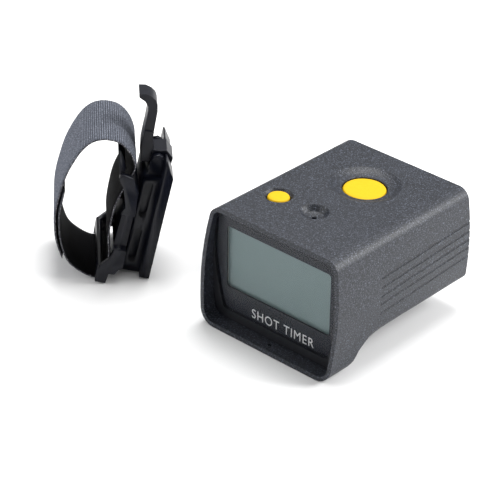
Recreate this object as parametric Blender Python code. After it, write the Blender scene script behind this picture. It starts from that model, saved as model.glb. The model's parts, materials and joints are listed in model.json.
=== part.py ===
"""Wrist shot timer and its detached quick-release wrist dock.

Metres, +Z up. The timer's display faces -Y; the origin is the middle of its front foot.
The dock lies beside the timer, built in its own frame: X away from the wrist, Y up the
rail plate, Z along the wrist.
"""
import bpy
import bmesh
from math import cos, pi, radians, sin
from mathutils import Matrix, Vector

MM = 0.001
GAP = 0.3

# Timer case, millimetres
HALF_W, WIDEST_Z, HALF_W_TOP, HALF_W_FOOT = 30.0, 20.49, 27.07, 28.19
HEIGHT, REAR_Y, LIP = 45.58, 71.15, 2.33
TOP_R, FOOT_R, REAR_R = 3.8, 5.3, 2.0
WALL = 1.6
UNDERSIDE = [(-2.4, 0), (9.4, 0), (10.6, 0.5), (11.6, 1.9), (12.7, 4.1), (15.3, 6.5), (18, 8.5),
             (21, 9.5), (24, 10.1), (27.2, 10.4), (30.4, 10.7), (33, 11), (71.2, 11)]
REAR_Z = 11.0
GLASS_SLOPE, GLASS_Y0 = 0.0442, 3.30
WINDOW = (22.8, 14.0, 38.2)
START, START_R, DISH_R = (0.0, 47.9), 7.65, 12.6
MODE, MODE_R, MODE_RECESS = (-15.8, 21.0), 3.9, 5.1
MIC, MIC_DISH = (0.0, 21.0), 5.1
GROOVES = [(31.7, 33.65), (28.3, 30.2), (25.0, 27.1), (22.0, 24.0), (18.3, 20.6)]
PCB_TOP, PCB_T = 36.0, 1.6
# Dock, millimetres
DOCK_AT, DOCK_TURN, DOCK_LEAN = (-60.447, 5.039, 0.0), 45.8, 11.21
DOCK_W = 30.0
PIVOT = (-5.5, 42.3)

for old in list(bpy.data.objects):
    bpy.data.objects.remove(old)
scene = bpy.context.scene
scene.unit_settings.system = "METRIC"
scene.unit_settings.scale_length = 1.0
MODEL = bpy.data.collections.new("shot_timer_with_dock")
CUTTERS = bpy.data.collections.new("cutters")
scene.collection.children.link(MODEL)
scene.collection.children.link(CUTTERS)
CUTTERS.hide_render = True
DOCK = (Matrix.Translation(Vector(DOCK_AT) * MM) @ Matrix.Rotation(radians(DOCK_TURN), 4, "Z")
        @ Matrix.Rotation(pi / 2, 4, "X") @ Matrix.Rotation(radians(-DOCK_LEAN), 4, "Z"))
GLASS = Matrix(((1, 0, 0, 0), (0, 1, -GLASS_SLOPE, GLASS_Y0 * MM), (0, GLASS_SLOPE, 1, 0),
                (0, 0, 0, 1)))

PAINTS = {
    "case": ((0.045, 0.052, 0.062), 0.55, 0.0), "black": ((0.012, 0.013, 0.016), 0.5, 0.0),
    "yellow": ((0.92, 0.55, 0.02), 0.4, 0.0), "glass": ((0.5, 0.6, 0.6), 0.05, 0.0),
    "lcd": ((0.24, 0.29, 0.26), 0.3, 0.0), "white": ((0.7, 0.7, 0.68), 0.5, 0.0),
    "board": ((0.01, 0.12, 0.05), 0.45, 0.0), "rubber": ((0.03, 0.03, 0.033), 0.8, 0.0),
    "steel": ((0.55, 0.55, 0.56), 0.3, 1.0), "brass": ((0.6, 0.45, 0.18), 0.3, 1.0),
    "dock": ((0.012, 0.013, 0.022), 0.4, 0.0), "strap": ((0.2, 0.2, 0.22), 0.9, 0.0),
    "foil": ((0.25, 0.3, 0.45), 0.4, 0.0),
}


def paint(obj, kind):
    """Gives an object a material of its own."""
    colour, rough, metal = PAINTS[kind]
    material = bpy.data.materials.new(obj.name + "_material")
    material.use_nodes = True
    shader = material.node_tree.nodes["Principled BSDF"]
    shader.inputs["Base Color"].default_value = (*colour, 1)
    shader.inputs["Roughness"].default_value = rough
    shader.inputs["Metallic"].default_value = metal
    obj.data.materials.clear()
    obj.data.materials.append(material)


def mesh_object(name, points, faces, frame=None):
    """A cutter made from points in millimetres; keep() turns it into a piece."""
    mesh = bpy.data.meshes.new(name)
    mesh.from_pydata([Vector(p) * MM for p in points], [], faces)
    shape = bmesh.new()
    shape.from_mesh(mesh)
    bmesh.ops.recalc_face_normals(shape, faces=shape.faces)
    shape.to_mesh(mesh)
    shape.free()
    obj = bpy.data.objects.new(name, mesh)
    if frame is not None:
        obj.data.transform(frame)
    obj.display_type = "WIRE"
    obj.hide_render = True
    CUTTERS.objects.link(obj)
    return obj


def loft(name, rings, frame=None):
    """A closed skin over rings of equal length, capped at both ends."""
    n = len(rings[0])
    points = [p for ring in rings for p in ring]
    faces = [tuple(range(n)), tuple(range(len(points) - n, len(points)))]
    for k in range(len(rings) - 1):
        for i in range(n):
            j = (i + 1) % n
            faces.append((k * n + i, k * n + j, (k + 1) * n + j, (k + 1) * n + i))
    return mesh_object(name, points, faces, frame)


def prism(name, outline, lo, hi, plane="xy", frame=None):
    """An outline pushed from lo to hi along the third axis."""
    def at(u, v, t):
        return {"xy": (u, v, t), "xz": (u, t, v), "yz": (t, u, v)}[plane]
    return loft(name, [[at(u, v, t) for u, v in outline] for t in (lo, hi)], frame)


def box(name, lo, hi, frame=None):
    outline = [(lo[0], lo[1]), (hi[0], lo[1]), (hi[0], hi[1]), (lo[0], hi[1])]
    return prism(name, outline, lo[2], hi[2], "xy", frame)


def circle(r, n, centre=(0, 0), turn=0.0):
    return [(centre[0] + r * cos(2 * pi * (i + turn) / n), centre[1] + r * sin(2 * pi * (i + turn) / n))
            for i in range(n)]


def rounded(lo, hi, r, steps=4):
    """A rectangle with round corners."""
    out = []
    for cx, cy, start in ((hi[0] - r, hi[1] - r, 0), (lo[0] + r, hi[1] - r, 90),
                          (lo[0] + r, lo[1] + r, 180), (hi[0] - r, lo[1] + r, 270)):
        for s in range(steps + 1):
            a = radians(start + 90 * s / steps)
            out.append((cx + r * cos(a), cy + r * sin(a)))
    return out


def turned(name, profile, centre=(0, 0), n=48, frame=None):
    """A round solid from (radius, z) pairs, top to bottom; both ends lie on flat discs."""
    rings = [[(x, y, z) for x, y in circle(r, n, centre)] for r, z in profile]
    return loft(name, rings, frame)


def ring(name, outer, inner, z0, z1, centre=(0, 0), n=32):
    body = turned(name, [(outer, z1), (outer, z0)], centre, n)
    return cut(body, turned(name + "_bore", [(inner, z1 + 1), (inner, z0 - 1)], centre, n))


def rod(name, a, b, r, n=10, frame=None):
    """A round bar between two points."""
    a, b = Vector(a), Vector(b)
    side = (b - a).to_track_quat("Z", "Y").to_matrix()
    rings = [[p + side @ Vector((x, y, 0)) for x, y in circle(r, n)] for p in (a, b)]
    return loft(name, rings, frame)


def combine(obj, other, how):
    modifier = obj.modifiers.new(how.lower(), "BOOLEAN")
    modifier.operation, modifier.solver, modifier.object = how, "EXACT", other
    graph = bpy.context.evaluated_depsgraph_get()
    made = bpy.data.meshes.new_from_object(obj.evaluated_get(graph))
    obj.modifiers.clear()
    obj.data = made
    bpy.data.objects.remove(other)
    return obj


def cut(obj, *others):
    for other in others:
        combine(obj, other, "DIFFERENCE")
    return obj


def join(obj, *others):
    for other in others:
        combine(obj, other, "UNION")
    return obj


def keep(obj, kind, name=None):
    """Moves a finished shape into the model, welded and with smooth round sides."""
    obj.name = name or obj.name
    shape = bmesh.new()
    shape.from_mesh(obj.data)
    bmesh.ops.remove_doubles(shape, verts=shape.verts, dist=0.000001)
    shape.to_mesh(obj.data)
    shape.free()
    obj.data.shade_smooth()
    obj.data.set_sharp_from_angle(angle=radians(32))
    CUTTERS.objects.unlink(obj)
    MODEL.objects.link(obj)
    obj.hide_render = False
    obj.display_type = "TEXTURED"
    paint(obj, kind)
    return obj


# ---- Timer case -------------------------------------------------------------------------------
def side_at(z):
    """Half width of the case at a height."""
    if z > WIDEST_Z:
        return HALF_W - (HALF_W - HALF_W_TOP) * ((z - WIDEST_Z) / (HEIGHT - WIDEST_Z)) ** 2
    return HALF_W - (HALF_W - HALF_W_FOOT) * ((WIDEST_Z - z) / WIDEST_Z) ** 2


def section(floor, foot_r, inset=0.0):
    """The case outline (x, z), from the floor up the right side and round."""
    top, low = HEIGHT - inset, floor
    top_r, low_r = max(TOP_R - inset, 0.8), max(foot_r - inset, 0.8)
    right = [(3.1, low), (12.0, low)]
    for s in range(6):
        a = -pi / 2 + pi / 2 * s / 5
        z = low + low_r + low_r * sin(a)
        right.append((side_at(z) - inset - low_r + low_r * cos(a), z))
    for s in range(1, 7):
        z = low + low_r + (top - top_r - low - low_r) * s / 7
        right.append((side_at(z) - inset, z))
    for s in range(6):
        a = pi / 2 * s / 5
        z = top - top_r + top_r * sin(a)
        right.append((side_at(z) - inset - top_r + top_r * cos(a), z))
    right += [(12.0, top), (3.1, top)]
    return right + [(-x, z) for x, z in reversed(right)]


def offset_underside(d):
    """The underside profile moved d millimetres into the case."""
    out = []
    for k, (y, z) in enumerate(UNDERSIDE):
        before, after = UNDERSIDE[max(k - 1, 0)], UNDERSIDE[min(k + 1, len(UNDERSIDE) - 1)]
        along = Vector((after[0] - before[0], after[1] - before[1])).normalized()
        out.append((y - along.y * d, z + along.x * d))
    return out


def floor_at(profile, y):
    for (y0, z0), (y1, z1) in zip(profile, profile[1:]):
        if y <= y1:
            return z0 + (z1 - z0) * (y - y0) / (y1 - y0)
    return profile[-1][1]


def case_loft(name, inset, front, stations, back, back_round=0.0):
    """A solid along Y inside the case outline. front(z) gives the slanted front plane."""
    profile = offset_underside(inset)
    rings = []
    for y in stations + [back]:
        blend = min(max((y - 9) / 25, 0), 1)
        outline = section(floor_at(profile, y), FOOT_R + (REAR_R - FOOT_R) * blend, inset)
        rings.append([(x, front(z) if y == stations[0] else y, z) for x, z in outline])
    if back_round:
        floor = floor_at(profile, back)
        rings[-1] = [(x, back - back_round, z) for x, z in section(floor, REAR_R, inset)]
        for a in (45, 90):
            d = back_round * (1 - cos(radians(a)))
            shrunk = section(floor + d, REAR_R, inset + d)
            rings.append([(x, back - back_round * (1 - sin(radians(a))), z) for x, z in shrunk])
    return loft(name, rings)


def lip(z):
    return -LIP * (1 - z / HEIGHT)


def glass_at(z):
    return GLASS_Y0 - GLASS_SLOPE * z


STATIONS = [0.0, 5.0] + [y for y, z in UNDERSIDE[1:-1]] + [50.0]
housing = case_loft("housing", 0.0, lip, STATIONS, REAR_Y, 0.7)
inner_at = [0.0, 5.0] + [y for y, z in offset_underside(WALL)[1:-1]] + [50.0]
cavity = case_loft("cavity", WALL, lambda z: lip(z) - 1.0, inner_at, REAR_Y - WALL)
# Thick spots left inside the top wall under the dish and the recesses, the screw posts, the
# ledge round the base opening and the pad behind the socket.
POSTS = [(sx * 23.0, y) for y in (15.4, 62.0) for sx in (-1, 1)]
cut(cavity,
    turned("start_boss", [(14.2, 60), (14.2, HEIGHT - 3.8)], START),
    turned("mode_boss", [(6.6, 60), (6.6, HEIGHT - 4.2)], MODE, 32),
    turned("mic_boss", [(6.6, 60), (6.6, HEIGHT - 4.2)], MIC, 32),
    *[turned("post", [(2.6, 60), (2.6, PCB_TOP + GAP)], p, 16) for p in POSTS],
    cut(box("ledge", (-24, 33.5, 9), (24, 71, 15)), box("mouth", (-17, 38, 8), (17, 65.5, 16))),
    box("port_pad", (-10, 68.2, 25.5), (10, 72, 36.0 - 2.0)))
cut(housing, cavity)
PORT_Z = 30.0
cut(housing,
    turned("dish", [(DISH_R + 0.5, 47), (DISH_R, HEIGHT), (DISH_R - 1.2, HEIGHT - 0.75),
                    (DISH_R - 3.2, HEIGHT - 1.5), (0.5, HEIGHT - 1.9)], (0, 48.2), 64),
    turned("start_hole", [(START_R + GAP, 60), (START_R + GAP, 38)], START, 64),
    turned("mode_dish", [(MODE_RECESS + 0.3, 47), (MODE_RECESS, HEIGHT), (MODE_RECESS - 0.7, HEIGHT - 1.0)],
           MODE, 40),
    turned("mode_hole", [(MODE_R + GAP, 60), (MODE_R + GAP, 38)], MODE, 40),
    turned("mic_dish", [(MIC_DISH + 0.3, 47), (MIC_DISH, HEIGHT), (MIC_DISH - 1.4, HEIGHT - 2.0),
                        (1.5, HEIGHT - 2.5)], MIC, 40),
    turned("mic_hole", [(0.9, 60), (0.9, 38)], MIC, 12),
    turned("hood_hole", [(0.8, 3), (0.8, -3)], (0, 1.2), 16),
    box("base_recess", (-22, 35, 9), (22, 68.6, 12.5)),
    box("base_mouth", (-17, 38, 9), (17, 65.5, 15)),
    box("port_pocket", (-7, 69.95, PORT_Z - 4), (7, 80, PORT_Z + 4)),
    prism("port_hole", rounded((-5.2, PORT_Z - 2.1), (5.2, PORT_Z + 2.1), 2.0), 60, 80, "xz"))
BASE_SCREWS = [(sx * 19.3, y) for y in (37.2, 66.4) for sx in (-1, 1)]
for x, y in POSTS:
    cut(housing, turned("post_hole", [(1.3, 41), (1.3, 30)], (x, y), 12))
for x, y in BASE_SCREWS:
    cut(housing, turned("screw_hole", [(1.3, 14.3), (1.3, 10)], (x, y), 12))
for z0, z1 in GROOVES:
    for sx in (-1, 1):
        start, end = (sx * side_at(z0), 21.7, z0), (sx * side_at(z1), REAR_Y, z1)
        past = Vector(end) + (Vector(end) - Vector(start)) * 0.05
        cut(housing, rod("groove", start, past, 0.55, 8))
keep(housing, "case")

# ---- Base cover with the receiver for the dock's rail ------------------------------------------
cover = box("base_cover", (-21.7, 35.3, REAR_Z), (21.7, 68.3, 12.2))
SLOT_X, SLOT_Z, MOUTH_X = 15.3, (3.0, 7.0), 11.4
block = prism("block", [(-17.3, 11.5), (-17.3, 2.4), (-14.9, 0), (14.9, 0), (17.3, 2.4), (17.3, 11.5)],
              35.5, 68.1, "xz")
join(cover, block)
cut(cover,
    box("slot", (-SLOT_X, 39.0, SLOT_Z[0]), (SLOT_X, 80, SLOT_Z[1])),
    box("slot_mouth", (-MOUTH_X, 39.0, -2), (MOUTH_X, 80, SLOT_Z[0] + 1)),
    box("hook_pocket", (-5.0, 42, 6), (5.0, 49, 10)))
for x, y in BASE_SCREWS:
    cut(cover, turned("clear", [(1.3, 14), (1.3, 9)], (x, y), 12))
keep(cover, "case")
seal = box("case_gasket", (-16.7, 38.3, 12.5), (16.7, 65.2, 13.7))
keep(cut(seal, box("seal_inside", (-15.2, 39.8, 11), (15.2, 63.7, 15))), "rubber")
for k, (x, y) in enumerate(BASE_SCREWS):
    screw = turned(f"base_screw_{k + 1}", [(1.0, 14.0), (1.0, 10.7), (1.9, 10.7), (1.9, 9.6), (1.5, 9.2)],
                   (x, y), 16)
    slot = join(box("driver", (x - 1.1, y - 0.25, 8), (x + 1.1, y + 0.25, 9.8)),
                box("driver_b", (x - 0.25, y - 1.1, 8), (x + 0.25, y + 1.1, 9.8)))
    keep(cut(screw, slot), "steel")

# ---- Display ----------------------------------------------------------------------------------
glass_right = [(23.1, 6.4), (25.0, 13.0), (26.2, 19.4), (26.9, 25.0), (27.0, 30.0), (26.5, 35.0)]


def glass_outline(grow=0.0):
    """The window pane's outline: straight foot, bowed sides, round top corners."""
    right = [(21.2 + grow, 5.6 - grow), (22.6 + grow, 5.9 - grow)]
    right += [(x + grow, z) for x, z in glass_right]
    top = HEIGHT - WALL - 0.9 + grow
    for s in range(6):
        a = pi / 2 * s / 5
        right.append((26.1 - 3.8 + (3.8 + grow) * cos(a), top - 3.8 - grow + (3.8 + grow) * sin(a)))
    return [(-x, z) for x, z in reversed(right)] + right


bezel = case_loft("window_bezel", WALL + GAP, lambda z: glass_at(z) + 0.25, [3.0, 6.0], 9.6)
wx, wz0, wz1 = WINDOW
cut(bezel,
    prism("pane_seat", glass_outline(0.3), -5, 1.5, "xz", GLASS),
    prism("aperture", rounded((-wx, wz0), (wx, wz1), 1.6), -5, 20, "xz", GLASS),
    box("panel_pocket", (-25.2, 2.0, 8.6), (25.2, 20, 41.6), GLASS))
keep(bezel, "black")
keep(prism("display_window", glass_outline(), 0.0, 1.2, "xz", GLASS), "glass")
frame = box("lcd_frame", (-24.9, 2.3, 8.9), (24.9, 5.0, 41.3), GLASS)
keep(cut(frame, box("frame_hole", (-23.3, 1, 12.4), (23.3, 8, 39.4), GLASS)), "white")
keep(box("lcd_panel", (-23.0, 2.6, 12.7), (23.0, 4.4, 39.1), GLASS), "lcd")
keep(box("backlight_diffuser", (-22.8, 4.7, 13.4), (22.8, 6.3, 38.4), GLASS), "white")
keep(box("connector_strip_upper", (-21, 5.3, 39.7), (21, 7.3, 41.1), GLASS), "rubber")
keep(box("connector_strip_lower", (-21, 5.3, 9.3), (21, 7.3, 11.9), GLASS), "rubber")
keep(box("display_board", (-24.8, 7.6, 9.2), (24.8, 8.8, 41.0), GLASS), "board")

# ---- Main board and what stands on it ----------------------------------------------------------
board = prism("main_board", rounded((-25.5, 13.2), (25.5, 66.4), 2.0), PCB_TOP - PCB_T, PCB_TOP)
keep(cut(board, *[turned("board_hole", [(1.3, 40), (1.3, 30)], p, 12) for p in POSTS]), "board")
for k, p in enumerate(POSTS):
    keep(turned(f"board_screw_{k + 1}", [(1.0, 40.4), (1.0, 34.1), (2.0, 34.1), (2.0, 33.0), (1.6, 32.7)],
                p, 12), "steel")


def button(name, centre, r, top, flange, boss):
    """A cap with a retaining flange, its switch, plunger and return dome."""
    under = 40.5
    keep(turned(name + "_button_cap",
                [(r * 0.5, top), (r - 0.9, top - 0.06), (r - 0.3, top - 0.25), (r, top - 0.8),
                 (r, boss - 0.3), (flange, boss - 0.3), (flange, under)], centre, 56), "yellow")
    x, y = centre
    body = box(name + "_switch", (x - 3, y - 3, PCB_TOP + GAP), (x + 3, y + 3, 39.1))
    keep(cut(body, turned("well", [(1.9, 42), (1.9, 37.0)], centre, 20)), "black")
    keep(turned(name + "_switch_plunger", [(1.2, 40.2), (1.6, 39.9), (1.6, 38.0)], centre, 20), "steel")
    dome = turned(name + "_button_dome", [(flange - 0.9, 40.2), (flange - 0.4, 38.2), (flange + 0.4, 36.9),
                                          (flange + 0.4, PCB_TOP + GAP)], centre, 32)
    keep(cut(dome, turned("dome_inside", [(flange - 1.5, 42), (flange - 1.5, 40.2), (flange - 1.0, 38.2),
                                          (flange - 0.2, 36.7), (flange - 0.2, 35)], centre, 32)),
         "rubber")


button("start", START, START_R, HEIGHT - 1.5, 9.2, HEIGHT - 3.8)
button("mode", MODE, MODE_R, HEIGHT - 0.1, 5.6, HEIGHT - 4.2)
keep(turned("microphone", [(2.6, 40.4), (3.0, 40.1), (3.0, 37.2)], MIC, 24), "steel")
boot = turned("microphone_boot", [(4.3, 41.0), (4.3, PCB_TOP + GAP)], MIC, 24)
keep(cut(boot, turned("boot_bore", [(3.3, 45), (3.3, 36.9)], MIC, 24)), "rubber")
beeper = turned("buzzer", [(7.6, 34.1), (8.0, 33.7), (8.0, 29.6), (7.6, 29.2)], (12, 24), 32)
keep(cut(beeper, turned("beeper_hole", [(1.5, 30.5), (1.5, 20)], (12, 24), 16)), "black")
keep(box("processor", (-14, 32, 32.8), (-5, 41, 34.1)), "black")
keep(box("charger_chip", (8, 56, 33.2), (12, 60, 34.1)), "black")
cable = prism("display_cable", [(12.6, 31.0), (12.6, 33.7), (16.5, 33.7), (16.5, 34.1), (12.3, 34.1), (12.2, 31.0)],
              -20, -8, "yz")
keep(cable, "foil")
keep(prism("battery", rounded((-16, 17), (16, 27.6), 2.4), 24, 64, "xz"), "foil")
keep(box("battery_pad", (-14.5, 40.5, 14.6), (14.5, 63, 16.7)), "rubber")
socket = prism("usb_socket", rounded((-4.5, PORT_Z - 1.6), (4.5, PORT_Z + 1.6), 1.55), 61.5, 69.4, "xz")
keep(cut(socket, prism("socket_mouth", rounded((-4.1, PORT_Z - 1.2), (4.1, PORT_Z + 1.2), 1.15),
                       63.5, 80, "xz")), "steel")
flap = box("usb_port_cover", (-6.7, 70.25, PORT_Z - 3.7), (6.7, 71.1, PORT_Z + 3.7))
keep(join(flap, prism("plug", rounded((-4.3, PORT_Z - 1.4), (4.3, PORT_Z + 1.1), 1.2), 69.7, 70.6, "xz")),
     "rubber")

# ---- Dock -------------------------------------------------------------------------------------
plate = box("rail_plate", (-3.5, 0, -30), (0, 46.35, 0), DOCK)
cut(plate, prism("plate_chamfer", [(0.3, 40.54), (1, 47), (-4, 47), (-4, 45.4), (-2.87, 45.4)], -31, 1, "xy", DOCK),
    box("hook_notch", (-8, 38.6, -20.7), (2, 50, -9.3), DOCK))
web = prism("web", [(-10.1, -0.2), (-3.2, -0.2), (-3.2, 38.0), (-10.1, 38.0)], -26, -4, "xy", DOCK)
join(plate, web)
for w0, w1 in ((-9.9, -6.9), (-23.1, -20.1)):
    ear = [(-3.4, 37), (-8.1, 37), (-8.1, 42.8), (-7.2, 44.5), (-5.5, 45.2), (-3.9, 44.5), (-3.4, 43.6)]
    join(plate, prism("ear", ear, w0, w1, "xy", DOCK))
for a0, a1 in ((3.3, 17.4), (21.7, 36.1)):
    for w0, w1 in ((-7.0, 0.0), (-30.0, -23.0)):
        cut(plate, prism("pocket", rounded((-8.6, a0), (-5.6, a1), 1.45), w0, w1, "xy", DOCK))
cut(plate, rod("pin_bore", (*PIVOT, -30), (*PIVOT, -7.6), 1.3, 20, DOCK),
    *[rod("screw_bore", (-14, a, -15), (-6.5, a, -15), 1.3, 12, DOCK) for a in (13.0, 24.0)])
keep(plate, "dock")

cheek = [(-17.9, 40.6), (-13.9, 39.8), (-11.25, 33.75), (-10.6, 27.8), (-10.6, 11.1),
         (-10.5, 4.2), (-11.7, 3.6), (-12.9, 1.4), (-14.9, 1.3), (-15.3, -2.6), (-19.07, -2.63),
         (-19.2, 2.2), (-15.9, 6.2), (-14.6, 10.7), (-15.3, 25.5), (-14.25, 28.2), (-16.7, 36),
         (-18.7, 38.9)]
saddle = prism("saddle_frame", cheek, 0.4, 3.4, "xy", DOCK)
join(saddle, prism("cheek_far", cheek, -33.4, -30.4, "xy", DOCK),
     prism("middle", [(-15, 10.2), (-10.6, 10.2), (-10.6, 27), (-14.6, 27)], -32, 2, "xy", DOCK),
     prism("back_plate", [(-13.2, 3.8), (-10.9, 3.8), (-10.9, 34.0), (-13.2, 36.0)], -32, 2, "xy", DOCK),
     prism("blade", [(-21.0, 48.3), (-19.9, 48.0), (-18.2, 45.2), (-17.0, 42.0), (-17.1, 38.2), (-18.6, 38.9)],
           -29.6, -0.4, "xy", DOCK),
     prism("blade_root", [(-18.6, 40.3), (-17.2, 40.3), (-17.1, 38.2), (-18.6, 38.9)], -32, 2, "xy", DOCK),
     box("bottom_bar", (-19.2, 0.2, -32), (-17.5, 3.4, 2), DOCK))
cut(saddle, box("cheek_band", (-17, 11.4, 0.0), (-9, 25.6, 9), DOCK),
    *[rod("screw_hole", (-20, a, -15), (-10, a, -15), 1.3, 12, DOCK) for a in (13.0, 24.0)],
    *[rod("head_seat", (-20, a, -15), (-14.1, a, -15), 2.2, 16, DOCK) for a in (13.0, 24.0)])
keep(saddle, "dock")
for k, a in enumerate((13.0, 24.0)):
    screw = rod(f"saddle_screw_{k + 1}", (-14.8, a, -15), (-7.2, a, -15), 1.0, 12, DOCK)
    join(screw, rod("screw_head", (-15.9, a, -15), (-14.4, a, -15), 1.9, 16, DOCK))
    keep(screw, "steel")

W0, W1 = -19.5, -10.5
arm = [(-11.3, 40.5), (-8.4, 40.5), (-8.2, 44.5), (-7.6, 46.0), (-8.8, 50.1), (-9.3, 60.2), (-9.8, 62.6), (-10.7, 64.2),
       (-12.4, 65.4), (-14.6, 66.0), (-16.9, 65.6), (-16.6, 64.2), (-14.3, 63.1), (-12.9, 61.4), (-12.6, 59.8), (-12.3, 52.1), (-12.2, 46.2)]
lever = prism("release_lever", arm, W0, W1, "xy", DOCK)
join(lever, prism("bridge", [(-8.6, 40.8), (-5.5, 39.7), (-2.9, 40.4), (-0.5, 40.4), (-0.3, 43.7), (-3.0, 46.3),
                             (-4.7, 45.8), (-7.8, 45.6)], W0, W1, "xy", DOCK))
cut(lever, rod("lever_bore", (*PIVOT, -30), (*PIVOT, 0), 1.3, 20, DOCK),
    box("spring_slot", (-11.5, 38, -16.9), (-3.2, 44.4, -13.1), DOCK),
    box("arm_step", (-20, 52.4, -11.1), (0, 70, -5), DOCK), box("arm_step_far", (-20, 52.4, -25), (0, 70, -18.9), DOCK))
keep(lever, "dock")
keep(rod("lever_pin", (*PIVOT, -23.0), (*PIVOT, -7.9), 1.0, 16, DOCK), "black")
coil = []
for i in range(61):
    a = 2 * pi * i / 20
    coil.append((PIVOT[0] + 1.75 * cos(a), PIVOT[1] + 1.75 * sin(a), -16.0 + 2.0 * i / 60))
path = bpy.data.curves.new("coil_path", "CURVE")
path.dimensions = "3D"
spline = path.splines.new("POLY")
spline.points.add(len(coil) - 1)
for point, place in zip(spline.points, coil):
    point.co = (*(Vector(place) * MM), 1)
path.bevel_depth, path.bevel_resolution, path.use_fill_caps = 0.25 * MM, 1, True
guide = bpy.data.objects.new("coil_guide", path)
CUTTERS.objects.link(guide)
wire = bpy.data.meshes.new_from_object(guide.evaluated_get(bpy.context.evaluated_depsgraph_get()))
bpy.data.objects.remove(guide)
wire.transform(DOCK)
spring = bpy.data.objects.new("lever_spring", wire)
CUTTERS.objects.link(spring)
keep(spring, "steel")

# ---- Strap ------------------------------------------------------------------------------------
STRAP = [(-36.55, 28.5), (-36.55, 26), (-36.5, 19.2), (-34.4, 10.0), (-30.7, 2.3), (-26.0, -1.4), (-20.5, -3.4),
         (-16.9, -2.7), (-15.1, -0.3), (-15.0, 3.5), (-15.6, 8.4), (-16.8, 13.2), (-17.3, 18.6), (-17.2, 26.4),
         (-15.9, 32.8), (-13.9, 39.4), (-13.5, 43.7), (-16.4, 48.6), (-20.9, 51.8), (-26.3, 52.1), (-30.8, 50.0),
         (-34.2, 45.0), (-36.9, 36.5), (-37.9, 28), (-37.9, 19.2), (-35.8, 9.6), (-32.2, 2.2)]


def smooth(points, steps=5):
    """A smooth curve through the given points."""
    points = [Vector(p) for p in points]
    ends = [points[0] * 2 - points[1]] + points + [points[-1] * 2 - points[-2]]
    out = []
    for a, b, c, d in zip(ends, ends[1:], ends[2:], ends[3:]):
        for s in range(steps):
            t = s / steps
            out.append(0.5 * (2 * b + (c - a) * t + (2 * a - 5 * b + 4 * c - d) * t * t
                              + (3 * b - a - 3 * c + d) * t ** 3))
    return out + [points[-1]]


def band(name, line, thick, w0, w1):
    """A flat strap whose outer face follows a line; it wraps round and overlaps itself."""
    rows = []
    for i, p in enumerate(line):
        along = (line[min(i + 1, len(line) - 1)] - line[max(i - 1, 0)]).normalized()
        q = p + Vector((-along.y, along.x)) * thick
        rows.append([(*p, w0), (*p, w1), (*q, w1), (*q, w0)])
    return loft(name, rows, DOCK)


keep(band("wrist_strap", smooth(STRAP), 1.0, -29.9, -0.1), "strap")
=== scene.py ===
"""Looks for the wrist shot timer and its detached wrist dock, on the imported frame."""

import json
from math import cos, pi, radians, sin

import bmesh
import bpy
from mathutils import Matrix, Vector

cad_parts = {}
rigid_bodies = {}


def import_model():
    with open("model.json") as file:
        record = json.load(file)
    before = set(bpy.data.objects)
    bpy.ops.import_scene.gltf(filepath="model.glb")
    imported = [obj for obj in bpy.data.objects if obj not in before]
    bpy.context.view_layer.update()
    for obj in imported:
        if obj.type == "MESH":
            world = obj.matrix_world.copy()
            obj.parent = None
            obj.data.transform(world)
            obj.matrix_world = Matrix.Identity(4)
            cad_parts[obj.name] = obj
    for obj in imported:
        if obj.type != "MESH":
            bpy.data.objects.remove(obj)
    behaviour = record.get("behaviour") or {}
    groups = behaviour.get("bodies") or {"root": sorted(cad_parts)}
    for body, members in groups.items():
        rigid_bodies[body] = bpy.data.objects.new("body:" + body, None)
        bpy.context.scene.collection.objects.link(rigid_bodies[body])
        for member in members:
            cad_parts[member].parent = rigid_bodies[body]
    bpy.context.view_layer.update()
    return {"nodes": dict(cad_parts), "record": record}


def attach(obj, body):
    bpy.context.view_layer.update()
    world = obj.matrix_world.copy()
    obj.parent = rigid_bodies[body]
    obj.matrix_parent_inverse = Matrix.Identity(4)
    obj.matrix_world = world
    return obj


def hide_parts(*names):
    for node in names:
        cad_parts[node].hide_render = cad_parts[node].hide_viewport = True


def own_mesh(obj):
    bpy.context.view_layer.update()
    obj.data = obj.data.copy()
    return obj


MM = 0.001
UPRIGHT = Matrix.Rotation(pi / 2, 4, "X")
for old in list(bpy.data.objects):
    bpy.data.objects.remove(old)
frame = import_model()
record = frame["record"]
slot_of = {s["node"]: s["material_slot"] for s in record["subparts"]}
# The dock's frame: where it stands, how far it is turned and how far it leans
DOCK_AT, DOCK_TURN, DOCK_LEAN = Vector((-60.447, 5.039, 0.0)), radians(45.8), radians(11.21)
DOCK = (Matrix.Translation(DOCK_AT * MM) @ Matrix.Rotation(DOCK_TURN, 4, "Z")
        @ UPRIGHT @ Matrix.Rotation(-DOCK_LEAN, 4, "Z"))
# Display pane and its print, millimetres in the pane's frame
GLASS_SLOPE, GLASS_Y0 = 0.0442, 3.30
GLASS = Matrix(((1, 0, 0, 0), (0, 1, -GLASS_SLOPE, GLASS_Y0 * MM),
                (0, GLASS_SLOPE, 1, 0), (0, 0, 0, 1)))
WINDOW_HALF, WINDOW_LOW, WINDOW_HIGH = 22.8, 14.0, 38.2
PANE_HALF, PANE_TOP, PANE_CORNER = 27.0, 43.08, 3.8
PANE_MID, PANE_HALF_HEIGHT = 24.5, 19.0
# Strap, millimetres in the dock's frame
STRAP_WIDTH, STRAP_THICK, STRAP_NEAR = 29.8, 1.0, -0.1


# ---- Materials --------------------------------------------------------------------------------
def material(name, colour, rough, metal=0.0, **sockets):
    made = bpy.data.materials.new(name)
    made.use_nodes = True
    shader = made.node_tree.nodes["Principled BSDF"]
    shader.inputs["Base Color"].default_value = (*colour, 1)
    shader.inputs["Roughness"].default_value = rough
    shader.inputs["Metallic"].default_value = metal
    for key, value in sockets.items():
        shader.inputs[key.replace("_", " ")].default_value = value
    return made


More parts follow.
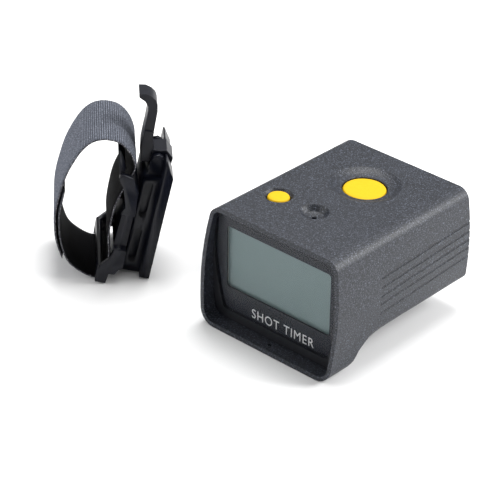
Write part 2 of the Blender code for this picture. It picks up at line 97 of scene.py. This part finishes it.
def node(mat, kind, **values):
    made = mat.node_tree.nodes.new(kind)
    for key, value in values.items():
        if hasattr(made, key):
            setattr(made, key, value)
        else:
            made.inputs[key.replace("_", " ")].default_value = value
    return made


def noise(mat, scale, detail=3.0, rough=0.6):
    """Noise in object metres."""
    place = node(mat, "ShaderNodeTexCoord")
    made = node(mat, "ShaderNodeTexNoise", Scale=scale, Detail=detail, Roughness=rough)
    mat.node_tree.links.new(place.outputs["Object"], made.inputs["Vector"])
    return made.outputs["Fac"]


def ramp(mat, value, stops):
    made = node(mat, "ShaderNodeValToRGB")
    elements = made.color_ramp.elements
    elements[0].position, elements[0].color = stops[0][0], (*stops[0][1], 1)
    elements[1].position, elements[1].color = stops[-1][0], (*stops[-1][1], 1)
    for position, colour in stops[1:-1]:
        elements.new(position).color = (*colour, 1)
    mat.node_tree.links.new(value, made.inputs["Fac"])
    return made.outputs["Color"]


def feed(mat, output, socket):
    mat.node_tree.links.new(output, mat.node_tree.nodes["Principled BSDF"].inputs[socket])


def bump(mat, height, strength, distance, eased=0.0):
    made = node(mat, "ShaderNodeBump", Strength=strength, Distance=distance)
    mat.node_tree.links.new(height, made.inputs["Height"])
    if eased:
        edge = node(mat, "ShaderNodeBevel", samples=4, Radius=eased)
        mat.node_tree.links.new(edge.outputs["Normal"], made.inputs["Normal"])
    feed(mat, made.outputs["Normal"], "Normal")


def textured(name, colour, rough, spread=0.15, scale=2500, height=0.00002, strength=0.4, metal=0.0,
             eased=0.0, **sockets):
    """Moulded or coated surface: slight colour drift, uneven gloss and a fine grain."""
    mat = material(name, colour, rough, metal, **sockets)
    low, high = ([c * (1 + d) for c in colour] for d in (-spread, spread))
    feed(mat, ramp(mat, noise(mat, scale * 0.3, 4), [(0.35, low), (0.65, high)]), "Base Color")
    gloss = ramp(mat, noise(mat, scale * 0.1, 2), [(0.3, [rough * 0.9] * 3), (0.7, [rough * 1.1] * 3)])
    feed(mat, gloss, "Roughness")
    bump(mat, noise(mat, scale, 2), strength, height, eased)
    return mat


def case_material():
    """Spark-eroded charcoal plastic with fine light specks."""
    mat = material("case", (0.012, 0.014, 0.019), 0.44, Specular_IOR_Level=0.42)
    dark, mid, light = (0.004, 0.005, 0.0075), (0.014, 0.0165, 0.0235), (0.125, 0.14, 0.18)
    feed(mat, ramp(mat, noise(mat, 2100, 2, 0.7), [(0.34, dark), (0.54, mid), (0.74, light)]), "Base Color")
    bump(mat, noise(mat, 1700, 3, 0.7), 0.85, 0.00015, 0.0003)
    return mat


LOOKS = {
    "case": case_material(),
    "bezel_black": textured("bezel_black", (0.004, 0.005, 0.008), 0.42),
    "button_yellow": textured("button_yellow", (0.62, 0.39, 0.012), 0.5, 0.03, 3000, 0.00001, 0.25,
                              Specular_IOR_Level=0.1),
    "window_glass": material("window_glass", (0.01, 0.014, 0.02), 0.04, Alpha=0.12, IOR=1.5),
    "lcd_glass": textured("lcd_glass", (0.20, 0.275, 0.28), 0.45, 0.015, 600, 0.000001, 0.02),
    "light_plastic": textured("light_plastic", (0.55, 0.57, 0.56), 0.5, 0.05),
    "board_green": textured("board_green", (0.01, 0.12, 0.05), 0.4),
    "black_rubber": textured("black_rubber", (0.03, 0.03, 0.033), 0.75),
    "bright_steel": textured("bright_steel", (0.55, 0.55, 0.56), 0.3, 0.08, metal=1.0),
    "film_wrap": textured("film_wrap", (0.20, 0.26, 0.42), 0.35),
    "dock_black": textured("dock_black", (0.0022, 0.003, 0.0075), 0.4, 0.2, 2500, 0.00003, 0.4, eased=0.0004,
                           Specular_IOR_Level=0.3),
    "dark_steel": textured("dark_steel", (0.03, 0.03, 0.035), 0.4, 0.1, metal=1.0),
}


# ---- Rounded copies of the hard pieces ---------------------------------------------------------
def polish(name, edge, angle=28):
    """Stands for a CAD node: the same solid with its flat faces merged and its edges eased."""
    source = frame["nodes"][name]
    obj = bpy.data.objects.new(name + "_look", source.data.copy())
    bpy.context.scene.collection.objects.link(obj)
    obj.matrix_world = source.matrix_world.copy()
    shape = bmesh.new()
    shape.from_mesh(obj.data)
    bmesh.ops.remove_doubles(shape, verts=shape.verts, dist=0.000002)
    bmesh.ops.dissolve_limit(shape, angle_limit=radians(0.6), verts=shape.verts, edges=shape.edges)
    shape.to_mesh(obj.data)
    shape.free()
    obj.data.shade_smooth()
    if edge:
        bevel = obj.modifiers.new("edge", "BEVEL")
        bevel.width, bevel.segments, bevel.limit_method = edge * MM, 2, "ANGLE"
        bevel.angle_limit = radians(angle)
    even = obj.modifiers.new("even", "WEIGHTED_NORMAL")
    even.keep_sharp, even.weight = False, 80
    if slot_of[name] in LOOKS:
        obj.data.materials.clear()
        obj.data.materials.append(LOOKS[slot_of[name]])
    body = next(b for b, nodes in record["behaviour"]["bodies"].items() if name in nodes)
    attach(obj, body)
    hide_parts(name)
    return obj


EASED = {"housing": 0.28, "rail_plate": 0.0, "saddle_frame": 0.0, "release_lever": 0.35,
         "base_cover": 0.25, "start_button_cap": 0.12, "mode_button_cap": 0.12}
SOFT = {"start_button_dome": ("start_press", (0.0, 0.0479)),
        "mode_button_dome": ("mode_press", (-0.0158, 0.021))}
for name, source in frame["nodes"].items():
    if name in EASED:
        polish(name, EASED[name])
    elif name in SOFT:
        dome = polish(name, 0.0)
        dome.modifiers.clear()
        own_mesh(dome)
    elif slot_of[name] in LOOKS:
        source.data.materials.clear()
        look = "dark_steel" if name.startswith("saddle_screw") else slot_of[name]
        source.data.materials.append(LOOKS[look])


# ---- Display print -----------------------------------------------------------------------------
def add_piece(name, mesh, mat, body):
    obj = bpy.data.objects.new(name, mesh)
    mesh.materials.append(mat)
    bpy.context.scene.collection.objects.link(obj)
    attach(obj, body)
    return obj


def mesh_of(name, curve):
    """The filled mesh of a curve or a text."""
    guide = bpy.data.objects.new(name, curve)
    bpy.context.scene.collection.objects.link(guide)
    graph = bpy.context.evaluated_depsgraph_get()
    mesh = bpy.data.meshes.new_from_object(guide.evaluated_get(graph))
    bpy.data.objects.remove(guide)
    return mesh


def rounded(lo, hi, r, steps=8):
    out = []
    for cx, cy, start in ((hi[0] - r, hi[1] - r, 0), (lo[0] + r, hi[1] - r, 90),
                          (lo[0] + r, lo[1] + r, 180), (hi[0] - r, lo[1] + r, 270)):
        for s in range(steps + 1):
            a = radians(start + 90 * s / steps)
            out.append((cx + r * cos(a), cy + r * sin(a)))
    return out


def pane_outline(inset):
    right = [(21.2, 5.6), (22.6, 5.9), (23.1, 6.4), (25.0, 13.0), (26.2, 19.4), (26.9, 25.0),
             (27.0, 30.0), (26.5, 35.0)]
    for s in range(6):
        a = pi / 2 * s / 5
        right.append((22.3 + PANE_CORNER * cos(a), PANE_TOP - PANE_CORNER + PANE_CORNER * sin(a)))
    points = [(-x, z) for x, z in reversed(right)] + right
    return [(x * (1 - inset / PANE_HALF), PANE_MID + (z - PANE_MID) * (1 - inset / PANE_HALF_HEIGHT))
            for x, z in points]


def plate_with_hole(name, outline, hole, y0, y1, mat, body):
    """A thin plate in the pane's frame with a window cut through it."""
    curve = bpy.data.curves.new(name, "CURVE")
    curve.dimensions, curve.fill_mode, curve.extrude = "2D", "BOTH", (y1 - y0) / 2 * MM
    for ring in (outline, hole):
        line = curve.splines.new("POLY")
        line.points.add(len(ring) - 1)
        for p, (x, z) in zip(line.points, ring):
            p.co = (x * MM, z * MM, 0, 1)
        line.use_cyclic_u = True
    mesh = mesh_of(name, curve)
    mesh.transform(GLASS @ Matrix.Translation((0, (y0 + y1) / 2 * MM, 0)) @ UPRIGHT)
    mesh.materials.clear()
    return add_piece(name, mesh, mat, body)


print_black = textured("print_black", (0.007, 0.009, 0.017), 0.5, 0.05, 600, 0.000001, 0.02)
print_white = textured("print_white", (0.85, 0.87, 0.88), 0.5, 0.03, 600, 0.000001, 0.02)
window = rounded((-WINDOW_HALF, WINDOW_LOW), (WINDOW_HALF, WINDOW_HIGH), 1.3)
plate_with_hole("window_print", pane_outline(0.15), window, 1.32, 1.44, print_black, "timer")

words = bpy.data.curves.new("generic_legend", "FONT")
words.body, words.size, words.extrude = "SHOT TIMER", 5.1 * MM, 0.01 * MM
words.align_x, words.align_y, words.space_character = "CENTER", "CENTER", 1.15
legend = mesh_of("generic_legend", words)
legend_place = Matrix.Translation((2.6 * MM, 1.26 * MM, 7.9 * MM))
legend.transform(GLASS @ legend_place @ UPRIGHT @ Matrix.Diagonal((0.86, 1, 1, 1)))
add_piece("generic_legend", legend, print_white, "timer")


# ---- Strap ------------------------------------------------------------------------------------
# The strap's route, from its inner end round the wrist to its outer end over the inner one
STRAP = [(-36.55, 28.5), (-36.55, 26), (-36.5, 19.2), (-34.4, 10.0), (-30.7, 2.3), (-26.0, -1.4),
         (-20.5, -3.4), (-16.9, -2.7), (-15.1, -0.3), (-15.0, 3.5), (-15.6, 8.4), (-16.8, 13.2),
         (-17.3, 18.6), (-17.2, 26.4), (-15.9, 32.8), (-13.9, 39.4), (-13.5, 43.7), (-16.4, 48.6),
         (-20.9, 51.8), (-26.3, 52.1), (-30.8, 50.0), (-34.2, 45.0), (-36.9, 36.5), (-37.9, 28),
         (-37.9, 19.2), (-35.8, 9.6), (-32.2, 2.2)]
RIB, RIB_HEIGHT, KNIT_HEIGHT, SPACING = 0.8, 0.07, 0.03, 0.1


def smooth_path(points, spacing):
    """Evenly spaced points on a smooth curve, and its length."""
    points = [Vector(p) for p in points]
    ends = [points[0] * 2 - points[1]] + points + [points[-1] * 2 - points[-2]]
    fine = []
    for a, b, c, d in zip(ends, ends[1:], ends[2:], ends[3:]):
        for s in range(40):
            t = s / 40
            fine.append(0.5 * (2 * b + (c - a) * t + (2 * a - 5 * b + 4 * c - d) * t * t
                               + (3 * b - a - 3 * c + d) * t ** 3))
    fine.append(points[-1])
    run = [0.0]
    for p, q in zip(fine, fine[1:]):
        run.append(run[-1] + (q - p).length)
    count = round(run[-1] / spacing)
    out, k = [], 0
    for i in range(count + 1):
        at = run[-1] * i / count
        while k < len(fine) - 2 and run[k + 1] < at:
            k += 1
        out.append(fine[k].lerp(fine[k + 1], (at - run[k]) / max(run[k + 1] - run[k], 1e-9)))
    return out, run[-1]


def strap_material(name, dark, light, fleck, ribbed=0.0):
    """Knitted elastic: noise for the yarn, and a stripe along the strap for its ribs."""
    mat = material(name, light, 0.95, Specular_IOR_Level=0.15)
    colour = ramp(mat, noise(mat, 2400, 3, 0.7), [(0.32, dark), (0.55, light), (0.72, fleck)])
    height = noise(mat, 1700, 3, 0.7)
    if ribbed:
        along = node(mat, "ShaderNodeUVMap", uv_map="length")
        wave = node(mat, "ShaderNodeTexWave", Scale=2 * pi / (20 * RIB * MM), Distortion=0.6, Detail=2.0)
        wave.inputs["Detail Scale"].default_value = 3.0
        mat.node_tree.links.new(along.outputs["UV"], wave.inputs["Vector"])
        shade = ramp(mat, wave.outputs["Fac"], [(0.1, [1 - ribbed] * 3), (0.75, [1.0] * 3)])
        mix = node(mat, "ShaderNodeMix", data_type="RGBA", blend_type="MULTIPLY")
        mix.inputs[0].default_value = 1.0
        mat.node_tree.links.new(colour, mix.inputs[6])
        mat.node_tree.links.new(shade, mix.inputs[7])
        colour = mix.outputs[2]
    feed(mat, colour, "Base Color")
    bump(mat, height, 0.6, 0.00018)
    return mat


def strap_band(name, line, thick):
    """Rows across the strap, each a rounded rectangle whose outer face is ribbed."""
    far, count, end_reach, edge_soft = STRAP_NEAR - STRAP_WIDTH, 14, 0.8, 0.22
    size = 2 * (count + 1)
    points, faces, marks = [], [], []
    last = len(line) - 1
    for i, p in enumerate(line):
        along = (line[min(i + 1, last)] - line[max(i - 1, 0)]).normalized()
        into = Vector((-along.y, along.x))
        rib = RIB_HEIGHT * sin(2 * pi * i * SPACING / RIB)
        end = max(0.0, 1 - min(i, last - i) * SPACING / end_reach) ** 2 * 0.35
        for k in range(count + 1):
            soft = edge_soft if k in (0, count) else 0.0
            knit = KNIT_HEIGHT * sin(pi * k + 2 * pi * i * SPACING / (2 * RIB))
            depth = 0.08 + soft + end + (rib + knit) * (0.5 if soft else 1.0)
            points.append((*(p + into * depth), far + STRAP_WIDTH * k / count))
        for k in range(count, -1, -1):
            soft = edge_soft if k in (0, count) else 0.0
            points.append((*(p + into * (thick - soft - end)), far + STRAP_WIDTH * k / count))
    for i in range(last):
        for k in range(size):
            m = (k + 1) % size
            faces.append((i * size + k, i * size + m, i * size + size + m, i * size + size + k))
            marks.append(1 if count < k < size - 1 else (2 if k in (count, size - 1) else 0))
    faces += [tuple(range(size)), tuple(range(last * size, last * size + size))]
    marks += [2, 2]
    mesh = bpy.data.meshes.new(name)
    mesh.from_pydata([Vector(p) * MM for p in points], [], faces)
    mesh.transform(DOCK)
    shape = bmesh.new()
    shape.from_mesh(mesh)
    bmesh.ops.recalc_face_normals(shape, faces=shape.faces)
    shape.to_mesh(mesh)
    shape.free()
    mesh.shade_smooth()
    obj = add_piece(name, mesh, STRAP_OUT, "dock")
    obj.data.materials.append(STRAP_IN)
    obj.data.materials.append(STRAP_EDGE)
    for face, mark in zip(obj.data.polygons, marks):
        face.material_index = mark
    coords = obj.data.uv_layers.new(name="length").data
    for loop in obj.data.loops:
        row, k = divmod(loop.vertex_index, size)
        coords[loop.index].uv = (row * SPACING * MM, k * 2 * MM)
    return obj


STRAP_OUT = strap_material("strap_outside", (0.045, 0.05, 0.062), (0.125, 0.135, 0.165),
                           (0.34, 0.36, 0.42), 0.6)
STRAP_IN = strap_material("strap_inside", (0.0008, 0.0008, 0.0012), (0.002, 0.002, 0.003),
                          (0.006, 0.006, 0.009))
STRAP_EDGE = strap_material("strap_edge", (0.01, 0.01, 0.014), (0.06, 0.06, 0.07), (0.80, 0.80, 0.84))
line, length = smooth_path(STRAP, SPACING)
strap = strap_band("strap_fabric", line, STRAP_THICK)
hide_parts("wrist_strap")

# ---- Stage ------------------------------------------------------------------------------------
floor_mesh = bpy.data.meshes.new("floor")
reach, level = 4, -0.00005
corners = [(-reach, -reach, level), (reach, -reach, level), (reach, reach, level), (-reach, reach, level)]
floor_mesh.from_pydata(corners, [], [(0, 1, 2, 3)])
floor = bpy.data.objects.new("floor", floor_mesh)
floor_mesh.materials.append(material("floor", (0.86, 0.86, 0.86), 0.9))
bpy.context.scene.collection.objects.link(floor)

world = bpy.data.worlds.new("studio")
world.use_nodes = True
world.node_tree.nodes["Background"].inputs["Color"].default_value = (1, 1, 1, 1)
world.node_tree.nodes["Background"].inputs["Strength"].default_value = 0.46
bpy.context.scene.world = world
bpy.context.scene.view_settings.view_transform = "Standard"


def softbox(name, place, aim, size, power):
    data = bpy.data.lights.new(name, "AREA")
    data.shape, data.size, data.size_y, data.energy = "RECTANGLE", size[0], size[1], power
    obj = bpy.data.objects.new(name, data)
    obj.location = place
    obj.rotation_euler = (Vector(aim) - Vector(place)).to_track_quat("-Z", "Y").to_euler()
    bpy.context.scene.collection.objects.link(obj)


softbox("top_light", (-0.15, 0.25, 0.95), (0, 0.03, 0.02), (0.45, 0.45), 9)
softbox("right_light", (0.55, 0.55, 0.5), (0, 0.03, 0.02), (0.35, 0.5), 9)
softbox("left_light", (-0.6, -0.6, 0.5), (-0.03, 0.03, 0.02), (0.5, 0.5), 3.5)

AZIMUTH, ELEVATION, ROLL = radians(40.26), radians(30.59), radians(2.57)
DISTANCE, SHIFT_RIGHT, SHIFT_UP = 710.45, -5.835, 33.927
data = bpy.data.cameras.new("camera")
data.lens, data.sensor_width, data.clip_start = 151.22, 36.0, 0.01
camera = bpy.data.objects.new("camera", data)
back = Vector((sin(AZIMUTH) * cos(ELEVATION), -cos(AZIMUTH) * cos(ELEVATION), sin(ELEVATION)))
side = Vector((cos(AZIMUTH), sin(AZIMUTH), 0))
up = back.cross(side)
right = cos(ROLL) * side + sin(ROLL) * up
over = -sin(ROLL) * side + cos(ROLL) * up
place = back * DISTANCE + right * SHIFT_RIGHT + over * SHIFT_UP
camera.matrix_world = Matrix((
    (right.x, over.x, back.x, place.x * MM), (right.y, over.y, back.y, place.y * MM),
    (right.z, over.z, back.z, place.z * MM), (0, 0, 0, 1)))
bpy.context.scene.collection.objects.link(camera)
bpy.context.scene.camera = camera
